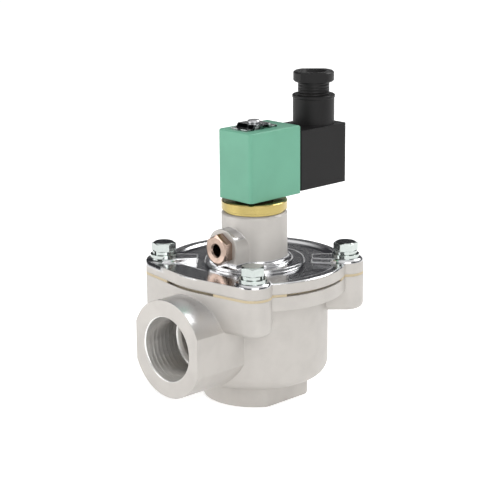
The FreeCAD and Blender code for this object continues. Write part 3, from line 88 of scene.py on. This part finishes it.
class Shader:
    """A node tree, with one method that adds any node."""

    def __init__(self, tree):
        self.tree = tree
        self.tree.nodes.clear()

    def node(self, kind, settings=None, inputs=(), output=0):
        node = self.tree.nodes.new("ShaderNode" + kind)
        for key, value in (settings or {}).items():
            setattr(node, key, value)
        pairs = inputs.items() if isinstance(inputs, dict) else enumerate(inputs)
        for socket, value in pairs:
            self.feed(node.inputs[socket], value)
        return Wire(self, node.outputs[output])

    def feed(self, socket, value):
        if isinstance(value, Wire):
            self.tree.links.new(value.socket, socket)
        elif socket.type == "RGBA" and len(value) == 3:
            socket.default_value = (*value, 1)
        else:
            socket.default_value = value

    def between(self, value, low, high):
        """Share that rises smoothly from 0 at low to 1 at high."""
        return self.node("MapRange", {"interpolation_type": "SMOOTHSTEP"}, {
            "Value": value, "From Min": low, "From Max": high})

    def mix(self, share, first, second):
        return self.node("Mix", {"data_type": "RGBA"}, {
            "Factor": share, 6: first, 7: second}, output=2)


class Finish(Shader):
    """One material: a principled surface and the nodes that feed it."""

    def __init__(self, name, **constants):
        self.material = bpy.data.materials.new(name)
        self.material.use_nodes = True
        super().__init__(self.material.node_tree)
        self.surface = self.tree.nodes.new("ShaderNodeBsdfPrincipled")
        output = self.tree.nodes.new("ShaderNodeOutputMaterial")
        self.tree.links.new(self.surface.outputs[0], output.inputs[0])
        self.place = self.node("TexCoord", output="Object")
        for label, value in constants.items():
            self.set(label.replace("_", " ").title().replace("Ior", "IOR"), value)

    def set(self, label, value):
        self.feed(self.surface.inputs[label], value)

    def noise(self, scale, detail=3.0, roughness=0.55):
        return self.node("TexNoise", {}, {
            "Vector": self.place, "Scale": scale, "Detail": detail, "Roughness": roughness})

    def axis(self, letter):
        return self.node("SeparateXYZ", {}, (self.place,), output="XYZ".index(letter))

    def facing_up(self):
        normal = self.node("NewGeometry", output="Normal")
        return self.node("SeparateXYZ", {}, (normal,), output=2)

    def radius(self, across, up):
        """Distance from an axis, given the two coordinates measured from it."""
        return (across * across + up * up) ** 0.5

    def bump(self, height, distance, strength, edge, crown=None):
        """Relief over a surface whose edges look rounded; crown is a slope under it."""
        eased = self.node("Bevel", {"samples": 6}, {"Radius": edge})
        if crown:
            eased = self.node("Bump", {}, {
                "Height": crown, "Distance": 1.0, "Strength": 1.0, "Normal": eased})
        self.set("Normal", self.node("Bump", {}, {
            "Height": height, "Distance": distance, "Strength": strength, "Normal": eased}))


def dress(finish, *parts):
    """Give a finish to CAD nodes or new pieces and shade their curved faces smooth."""
    for part in parts:
        mesh = nodes[part].data if isinstance(part, str) else part.data
        mesh.materials.clear()
        mesh.materials.append(finish.material)
        mesh.polygons.foreach_set("material_index", [0] * len(mesh.polygons))
        mesh.set_sharp_from_angle(angle=math.radians(28))
        mesh.polygons.foreach_set("use_smooth", [True] * len(mesh.polygons))


cast_grey = (0.535, 0.51, 0.48)
bored_grey = (0.95, 0.94, 0.92)
bright_metal = (0.66, 0.66, 0.67)
cloud_shade = 0.93
cast_metal = 0.5
bored_metal = 0.32
cast_roughness = 0.42
bored_smoothing = 0.28


def cast_finish(name, polished, bored, polish, edge, crown=None):
    """Blasted casting; two masks say where it is polished bright and where it is bored."""
    finish = Finish(name)
    clouds = finish.noise(scale=90.0, detail=4.0)
    grain = finish.noise(scale=2600.0, detail=2.0)
    swell = finish.noise(scale=75.0, detail=2.0)
    bright = polished(finish)
    smooth = bored(finish)
    darker = tuple(cloud_shade * channel for channel in cast_grey)
    blasted = finish.mix(finish.between(clouds, 0.35, 0.7), cast_grey, darker)
    finish.set("Base Color", finish.mix(bright, finish.mix(smooth, blasted, bored_grey),
                                        bright_metal))
    finish.set("Metallic", cast_metal + bright * (1.0 - cast_metal) + smooth * bored_metal)
    rough = cast_roughness + grain * 0.16 - smooth * bored_smoothing
    finish.set("Roughness", rough + bright * (polish + grain * 0.11 - rough))
    relief = (grain + clouds * 0.6) * (1.0 - bright) + (swell * 1.5 + grain * 0.9) * bright
    finish.bump(relief, distance=0.12 * MM, strength=0.35, edge=edge,
                crown=crown and crown(finish))
    return finish


port_radius = 14.95 * MM
port_depth = 19.0 * MM
inlet_height = 33.4 * MM
inlet_reach = 56.0 * MM
boss_back = -37.0 * MM


def from_inlet_axis(finish):
    """Distance from the middle line of the inlet."""
    return finish.radius(finish.axis("X"), finish.axis("Z") - inlet_height)


def on_boss_top(finish):
    """Share that is high on the round top of the inlet's boss."""
    top = finish.between(finish.facing_up(), 0.45, 0.75) \
        * finish.between(from_inlet_axis(finish), port_radius + 4.0 * MM, port_radius + 5.0 * MM)
    height = finish.axis("Z")
    return 0.85 * top * finish.between(height, inlet_height, inlet_height + 2.0 * MM) \
        * (1.0 - finish.between(finish.axis("Y"), boss_back - 1.0 * MM, boss_back))


def in_ports(finish):
    """Share that is 1 on the walls of the two pipe ports."""
    wall = port_radius + 0.3 * MM
    from_outlet_axis = finish.radius(finish.axis("X"), finish.axis("Y"))
    port_end = port_depth - inlet_reach
    inlet = (1.0 - finish.between(from_inlet_axis(finish), wall, wall + 0.3 * MM)) \
        * (1.0 - finish.between(finish.axis("Y"), port_end, port_end + 1.0 * MM))
    outlet = (1.0 - finish.between(from_outlet_axis, wall, wall + 0.3 * MM)) \
        * (1.0 - finish.between(finish.axis("Z"), port_depth, port_depth + 1.0 * MM))
    return inlet.math("MAXIMUM", inlet, outlet)


body_finish = cast_finish("cast_aluminium", polished=on_boss_top, bored=in_ports,
                          polish=0.20, edge=0.55 * MM)
dress(body_finish, "valve_body")


# Pipe threads: single-start thread cut inside the inlet and the outlet, with the
# crests taken off so that a low rounded ridge winds up the bore.
def thread_ridge(name, wall, height, pitch, turns, place):
    """Helical ridge on the inside of a round wall, run out to nothing at both ends."""
    steps = 72
    last = int(steps * turns)
    half_width = 0.30 * pitch
    corners = []
    for index in range(last + 1):
        angle = 2 * math.pi * index / steps
        rise = min(1.0, index / steps, (last - index) / steps)
        foot = wall + 0.1 * height
        crest = foot - 1.1 * height * rise
        middle = pitch * index / steps
        for radius, shift in ((foot, -half_width), (crest, -0.25 * half_width),
                              (crest, 0.25 * half_width), (foot, half_width)):
            corners.append(place @ Vector((
                radius * math.cos(angle), radius * math.sin(angle), middle + shift)))
    faces = [(4 * index + side, 4 * index + side + 1, 4 * index + side + 5, 4 * index + side + 4)
             for index in range(last) for side in range(3)]
    mesh = bpy.data.meshes.new(name)
    mesh.from_pydata([tuple(corner) for corner in corners], [], faces)
    ridge = bpy.data.objects.new(name, mesh)
    bpy.context.scene.collection.objects.link(ridge)
    return ridge


pipe_pitch = 2.309 * MM
pipe_ridge = 0.06 * MM
pipe_turns = 7.2
pipe_start = 1.6 * MM
inlet_frame = Matrix.Translation((0, pipe_start - inlet_reach, inlet_height)) \
    @ Matrix.Rotation(-math.pi / 2, 4, "X")
outlet_frame = Matrix.Translation((0, 0, pipe_start))
inlet_thread = thread_ridge(
    "inlet_thread", port_radius, pipe_ridge, pipe_pitch, pipe_turns, inlet_frame)
outlet_thread = thread_ridge(
    "outlet_thread", port_radius, pipe_ridge, pipe_pitch, pipe_turns, outlet_frame)
for thread in (inlet_thread, outlet_thread):
    dress(body_finish, thread)
    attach(thread, "valve")


# Diaphragm: cream rubber moulded round a woven fabric, clamped by its rim between
# the two castings. Its dished middle follows the hub; its cut edge shows at the lugs.
def flexible(name, node):
    """New piece with a copy of a CAD solid's mesh; the solid itself is hidden."""
    piece = bpy.data.objects.new(name, nodes[node].data.copy())
    piece.matrix_world = nodes[node].matrix_world
    bpy.context.scene.collection.objects.link(piece)
    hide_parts(node)
    return piece


def diaphragm_finish():
    """Cut edge of reinforced rubber with its fabric threads."""
    finish = Finish("diaphragm_rubber", roughness=0.7)
    threads = finish.noise(scale=1800.0, detail=2.0)
    finish.set("Base Color", finish.mix(threads, (0.52, 0.42, 0.26), (0.62, 0.53, 0.37)))
    finish.bump(threads, distance=0.1 * MM, strength=0.5, edge=0.1 * MM)
    return finish


membrane = flexible("membrane", "diaphragm")
dress(diaphragm_finish(), membrane)
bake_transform(membrane)


# Hub and springs: two pressed aluminium plates on a stainless stud, and the coiled
# wire spring that pushes them down on the seat. The spring shortens as the hub lifts.
def turned_finish(name, dark, bright, axis, roughness):
    """Turned metal with lathe rings along one axis."""
    finish = Finish(name, metallic=1.0)
    smears = finish.noise(scale=260.0, detail=3.0)
    rings = finish.node("TexWave", {"bands_direction": axis}, {
        "Vector": finish.place, "Scale": 900.0, "Distortion": 1.5, "Detail": 1.0})
    finish.set("Base Color", finish.mix(smears, dark, bright))
    finish.set("Roughness", roughness + smears * 0.12)
    finish.bump(rings, distance=0.03 * MM, strength=0.25, edge=0.2 * MM)
    return finish


def coiled(name, node):
    """Copy of a CAD spring that rides the valve body, with a mesh of its own."""
    spring = flexible(name, node)
    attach(spring, "valve")
    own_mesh(spring)
    return spring


stainless = turned_finish("stainless", dark=(0.42, 0.42, 0.43), bright=(0.60, 0.60, 0.61),
                          axis="Z", roughness=0.25)
dress(stainless, "support_plate", "backing_washer", "hub_stud", "hub_nut")
dress(stainless, coiled("closing_spring", "main_spring"))


# Bonnet: the same alloy as the body. The stem and the outer edge stay blasted, and
# the dished top, its rings and the clamp pads are polished bright.
disc_radius = 38.6 * MM
disc_top = 68.4 * MM
stem_rim = 88.0 * MM
crown_low = 61.6 * MM
crown_height = 4.4 * MM


def outside(finish):
    """Share that is 1 beyond the round flange, on the pads left of the inlet."""
    across = finish.axis("X")
    from_stem = finish.radius(across, finish.axis("Y"))
    return finish.between(from_stem, 43.4 * MM, 43.9 * MM) \
        * (1.0 - finish.between(across, -22.0 * MM, -17.0 * MM))


def on_bright_faces(finish):
    """Share that is 1 on the dished disc and on the upward faces of the pads and the boss."""
    height = finish.axis("Z")
    from_stem = finish.radius(finish.axis("X"), finish.axis("Y"))
    in_dish = (1.0 - finish.between(from_stem, disc_radius - 0.3 * MM, disc_radius)) \
        * (1.0 - finish.between(height, disc_top - 1.0 * MM, disc_top))
    up = finish.facing_up()
    low_part = 1.0 - finish.between(height, disc_top + 2.0 * MM, disc_top + 3.0 * MM)
    under_rim = 1.0 - finish.between(height, stem_rim - 1.0 * MM, stem_rim)
    on_top = finish.between(up, 0.10, 0.30) * low_part \
        + finish.between(up, 0.45, 0.70) * (under_rim - low_part)
    on_crown = outside(finish) * finish.between(height, crown_low + 0.8 * MM, crown_low + 1.6 * MM) \
        * low_part
    return in_dish.math("MAXIMUM", in_dish.math("MAXIMUM", in_dish, on_top), on_crown)


def crown_fall(finish):
    """How far the upper edge of a pad falls away from its upright side."""
    height = finish.axis("Z") - crown_low
    climb = height.math("MAXIMUM", height, 0.0)
    return climb * climb * outside(finish) / (-2.0 * crown_height)


def nowhere(finish):
    """No part of the bonnet is bored where it shows."""
    return finish.between(finish.axis("Z"), 1.0, 2.0)


dress(cast_finish("bonnet_aluminium", polished=on_bright_faces, bored=nowhere, polish=0.05,
                  edge=1.0 * MM, crown=crown_fall), "bonnet")


# Screws and washers: four hexagon screws with flat and split washers, and the plug's
# long screw. Steel, bright zinc plated with a faint green passivation.
def zinc_finish():
    """Bright zinc plate with a slightly mottled passivation."""
    finish = Finish("zinc_plate", metallic=1.0)
    mottle = finish.noise(scale=700.0, detail=3.0)
    finish.set("Base Color", finish.mix(mottle, (0.42, 0.46, 0.44), (0.56, 0.60, 0.58)))
    finish.set("Roughness", 0.06 + mottle * 0.10)
    finish.bump(mottle, distance=0.04 * MM, strength=0.15, edge=0.3 * MM)
    return finish


dress(zinc_finish(), "bonnet_screws", "spring_washers", "flat_washers", "plug_screw", "coil_yoke")


# Exhaust breather: hexagon fitting turned from bronze, slightly pink, with fine
# lathe lines. It is screwed into the side of the stem.
dress(turned_finish("bronze", dark=(0.20, 0.145, 0.115), bright=(0.62, 0.47, 0.39),
                    axis="Y", roughness=0.14), "exhaust_fitting")


# Solenoid base: turned brass ring that closes the stem and carries the coil, with a
# moulded rubber ring below it.
dress(turned_finish("brass", dark=(0.37, 0.29, 0.095), bright=(0.50, 0.40, 0.16),
                    axis="Z", roughness=0.18), "solenoid_base", "coil_terminals")


# Pilot: drawn stainless tube with the fixed core, the plunger, its rubber face and
# light spring, and the nozzle under it. Only the core's stud shows, above the clip.
def moulded_finish(name, colour, roughness, grain_depth, shine):
    """Moulded plastic or rubber with a fine spark-eroded grain."""
    finish = Finish(name, specular_ior_level=shine)
    grain = finish.noise(scale=3200.0, detail=2.0)
    flow = finish.noise(scale=60.0, detail=2.0)
    darker = tuple(0.92 * channel for channel in colour)
    finish.set("Base Color", finish.mix(finish.between(flow, 0.3, 0.7), colour, darker))
    finish.set("Roughness", roughness + grain * 0.14)
    finish.bump(grain, distance=grain_depth, strength=0.4, edge=0.35 * MM)
    return finish


dress(stainless, "core_tube", "plugnut", "plunger", "pilot_seat")
dress(stainless, coiled("plunger_spring", "core_spring"))
rubber = moulded_finish("black_rubber", (0.03, 0.03, 0.03),
                        roughness=0.6, grain_depth=0.05 * MM, shine=0.4)
dress(rubber, "base_oring", "plunger_seal")


# Coil: copper winding on a bobbin inside a steel yoke, potted in a mint green block
# with a satin skin. A thin dark washer lies under it.
dress(turned_finish("copper", dark=(0.55, 0.24, 0.12), bright=(0.72, 0.36, 0.20),
                    axis="Z", roughness=0.3), "coil_winding", "shading_ring")
dress(moulded_finish("coil_green", (0.156, 0.41, 0.284),
                     roughness=0.38, grain_depth=0.06 * MM, shine=0.36), "coil_housing")
dress(rubber, "coil_washer")


# Retaining clip: strip stamped from spring steel and bent, pressed over the core's
# stud to hold the coil down.
def blued_finish():
    """Spring steel with a dark blued skin rubbed bright in places."""
    finish = Finish("spring_steel", metallic=1.0)
    rubbed = finish.between(finish.noise(scale=190.0, detail=2.0), 0.50, 0.62)
    finish.set("Base Color", finish.mix(rubbed, (0.03, 0.032, 0.034), (0.34, 0.36, 0.36)))
    finish.set("Roughness", 0.12 + rubbed * 0.10)
    finish.bump(rubbed, distance=0.02 * MM, strength=0.2, edge=0.2 * MM)
    return finish


dress(blued_finish(), "retaining_clip")


# Plug: black glass-filled polyamide housing with a grey terminal insert and a thin
# rubber gasket, held on the coil's blades by its long screw.
plug_colour = (0.011, 0.0105, 0.0107)
plug_shine = 0.2
plug_black = moulded_finish("plug_black", plug_colour,
                            roughness=0.40, grain_depth=0.08 * MM, shine=plug_shine)
dress(plug_black, "plug_housing", "coil_bobbin")
insert_grey = moulded_finish("insert_grey", (0.30, 0.31, 0.32),
                             roughness=0.5, grain_depth=0.05 * MM, shine=0.4)
dress(insert_grey, "terminal_block")
dress(rubber, "plug_gasket")


# Cable gland: rubber sleeve and washer squeezed by a threaded black pressure screw.
# No cable is fitted, so the screw stands partly out of the collar.
gland_back = 39.7 * MM
gland_pitch = 1.41 * MM
thread_low = 131.0 * MM
thread_high = 145.2 * MM
thread_fade = 0.3 * MM


def gland_nut_finish():
    """Moulded black screw whose neck carries the gland thread."""
    finish = Finish("gland_black", specular_ior_level=plug_shine)
    across = finish.axis("X")
    back = finish.axis("Y") - gland_back
    up = finish.axis("Z")
    grain = finish.noise(scale=3200.0, detail=2.0)
    angle = finish.node("Math", {"operation": "ARCTAN2"}, (back, across))
    turn = (up - thread_low) / gland_pitch - angle / (2 * math.pi) + 0.5
    turn = finish.node("Math", {"operation": "FRACT"}, (turn,))
    ridge = 1.0 - finish.node("Math", {"operation": "ABSOLUTE"}, (turn * 2.0 - 1.0,))
    on_neck = finish.between(up, thread_low, thread_low + thread_fade) \
        * (1.0 - finish.between(up, thread_high - thread_fade, thread_high))
    # Painted shade: the thread's grooves are coloured a touch darker than its crests.
    finish.set("Base Color", finish.mix(ridge * on_neck, plug_colour, (0.015, 0.0145, 0.0145)))
    finish.set("Roughness", 0.36 + grain * 0.14)
    finish.bump(ridge * on_neck + grain * 0.12, distance=0.5 * MM, strength=0.6, edge=0.3 * MM)
    return finish


dress(gland_nut_finish(), "gland_nut")
dress(insert_grey, "gland_washer")
sleeve = flexible("gland_sleeve", "gland_seal")
dress(rubber, sleeve)
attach(sleeve, "coil_unit")
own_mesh(sleeve)


# Studio: a white floor under soft light. The walls are white near the ground and
# overhead, with a dark band between, and bright metal reflects them.
def background_rays(shader):
    """Share that is 1 for rays from the camera, a gloss or a clear surface."""
    seen = shader.tree.nodes.new("ShaderNodeLightPath").outputs
    straight = Wire(shader, seen["Is Camera Ray"])
    glossy = straight.math("MAXIMUM", straight, Wire(shader, seen["Is Glossy Ray"]))
    return glossy.math("MAXIMUM", glossy, Wire(shader, seen["Is Transmission Ray"]))


floor_half = 6.0
floor_level = -0.2 * MM
floor_glow = 0.505
floor_mesh = bpy.data.meshes.new("floor")
floor_mesh.from_pydata([(-floor_half, -floor_half, floor_level),
                        (floor_half, -floor_half, floor_level),
                        (floor_half, floor_half, floor_level),
                        (-floor_half, floor_half, floor_level)], [], [(0, 1, 2, 3)])
floor = bpy.data.objects.new("floor", floor_mesh)
bpy.context.scene.collection.objects.link(floor)
floor_finish = Finish("studio_white", roughness=0.9, base_color=(0.9, 0.9, 0.9))
floor_finish.set("Emission Color", floor_finish.mix(
    background_rays(floor_finish), (0.0, 0.0, 0.0), (1.0, 1.0, 1.0)))
floor_finish.set("Emission Strength", floor_glow)
floor_mesh.materials.append(floor_finish.material)

world = bpy.data.worlds.new("studio")
bpy.context.scene.world = world
world.use_nodes = True
sky = Shader(world.node_tree)
direction = sky.node("TexCoord", output="Generated")
rise = sky.node("SeparateXYZ", {}, (direction,), output=2)
white = (1.0, 1.0, 1.0)
band_dark = (0.045, 0.045, 0.05)
band_foot = (0.160, 0.185)
band_top = (0.55, 0.85)
dark_band = sky.between(rise, *band_foot) * (1.0 - sky.between(rise, *band_top))
wall_colour = sky.mix(dark_band, white, band_dark)
around = sky.node("Background", {}, {"Color": wall_colour, "Strength": 1.0})
soft_light = sky.node("Background", {}, {"Color": white, "Strength": 0.55})
shown = sky.node("MixShader", {}, {0: background_rays(sky), 1: soft_light, 2: around})
sky_output = sky.tree.nodes.new("ShaderNodeOutputWorld")
sky.feed(sky_output.inputs["Surface"], shown)


def softbox(name, place, aim, width, height, power):
    """Large soft lamp that points at a spot on the part."""
    lamp_data = bpy.data.lights.new(name, "AREA")
    lamp_data.shape = "RECTANGLE"
    lamp_data.size = width
    lamp_data.size_y = height
    lamp_data.energy = power
    lamp = bpy.data.objects.new(name, lamp_data)
    bpy.context.scene.collection.objects.link(lamp)
    lamp.location = place
    lamp.rotation_euler = (Vector(aim) - Vector(place)).to_track_quat("-Z", "Y").to_euler()


middle = (0.0, 0.0, 0.07)
softbox("key_light", (0.9, -0.5, 0.6), middle, width=0.7, height=0.7, power=5.2)
softbox("left_fill", (-0.6, -0.9, 0.3), middle, width=0.8, height=0.6, power=4.4)
softbox("back_light", (0.2, 0.9, 0.9), middle, width=0.8, height=0.5, power=7.0)


# Camera: a portrait lens about three quarters of a metre away, a little above the
# bonnet, looking at the corner between the inlet port and the side of the plug.
camera_turn = math.radians(46.13)
camera_reach = 720.0 * MM
camera_height = 263.8 * MM
camera_pitch = math.radians(15.10)
camera_roll = math.radians(0.37)
camera_data = bpy.data.cameras.new("photo_camera")
camera_data.lens = 113.74
camera_data.sensor_width = 36.0
camera_data.shift_x = -0.0093
camera_data.clip_end = 20.0
camera = bpy.data.objects.new("photo_camera", camera_data)
bpy.context.scene.collection.objects.link(camera)
camera_heading = Vector((-math.sin(camera_turn), math.cos(camera_turn), 0.0))
camera_place = Vector((0, 0, camera_height)) - camera_heading * camera_reach
forward = camera_heading * math.cos(camera_pitch) - Vector((0, 0, math.sin(camera_pitch)))
level_right = forward.cross(Vector((0, 0, 1))).normalized()
level_up = level_right.cross(forward)
right = level_right * math.cos(camera_roll) - level_up * math.sin(camera_roll)
upward = right.cross(forward)
camera.matrix_world = Matrix((
    (right.x, upward.x, -forward.x, camera_place.x),
    (right.y, upward.y, -forward.y, camera_place.y),
    (right.z, upward.z, -forward.z, camera_place.z),
    (0, 0, 0, 1)))
bpy.context.scene.camera = camera
bpy.context.scene.view_settings.view_transform = "Standard"
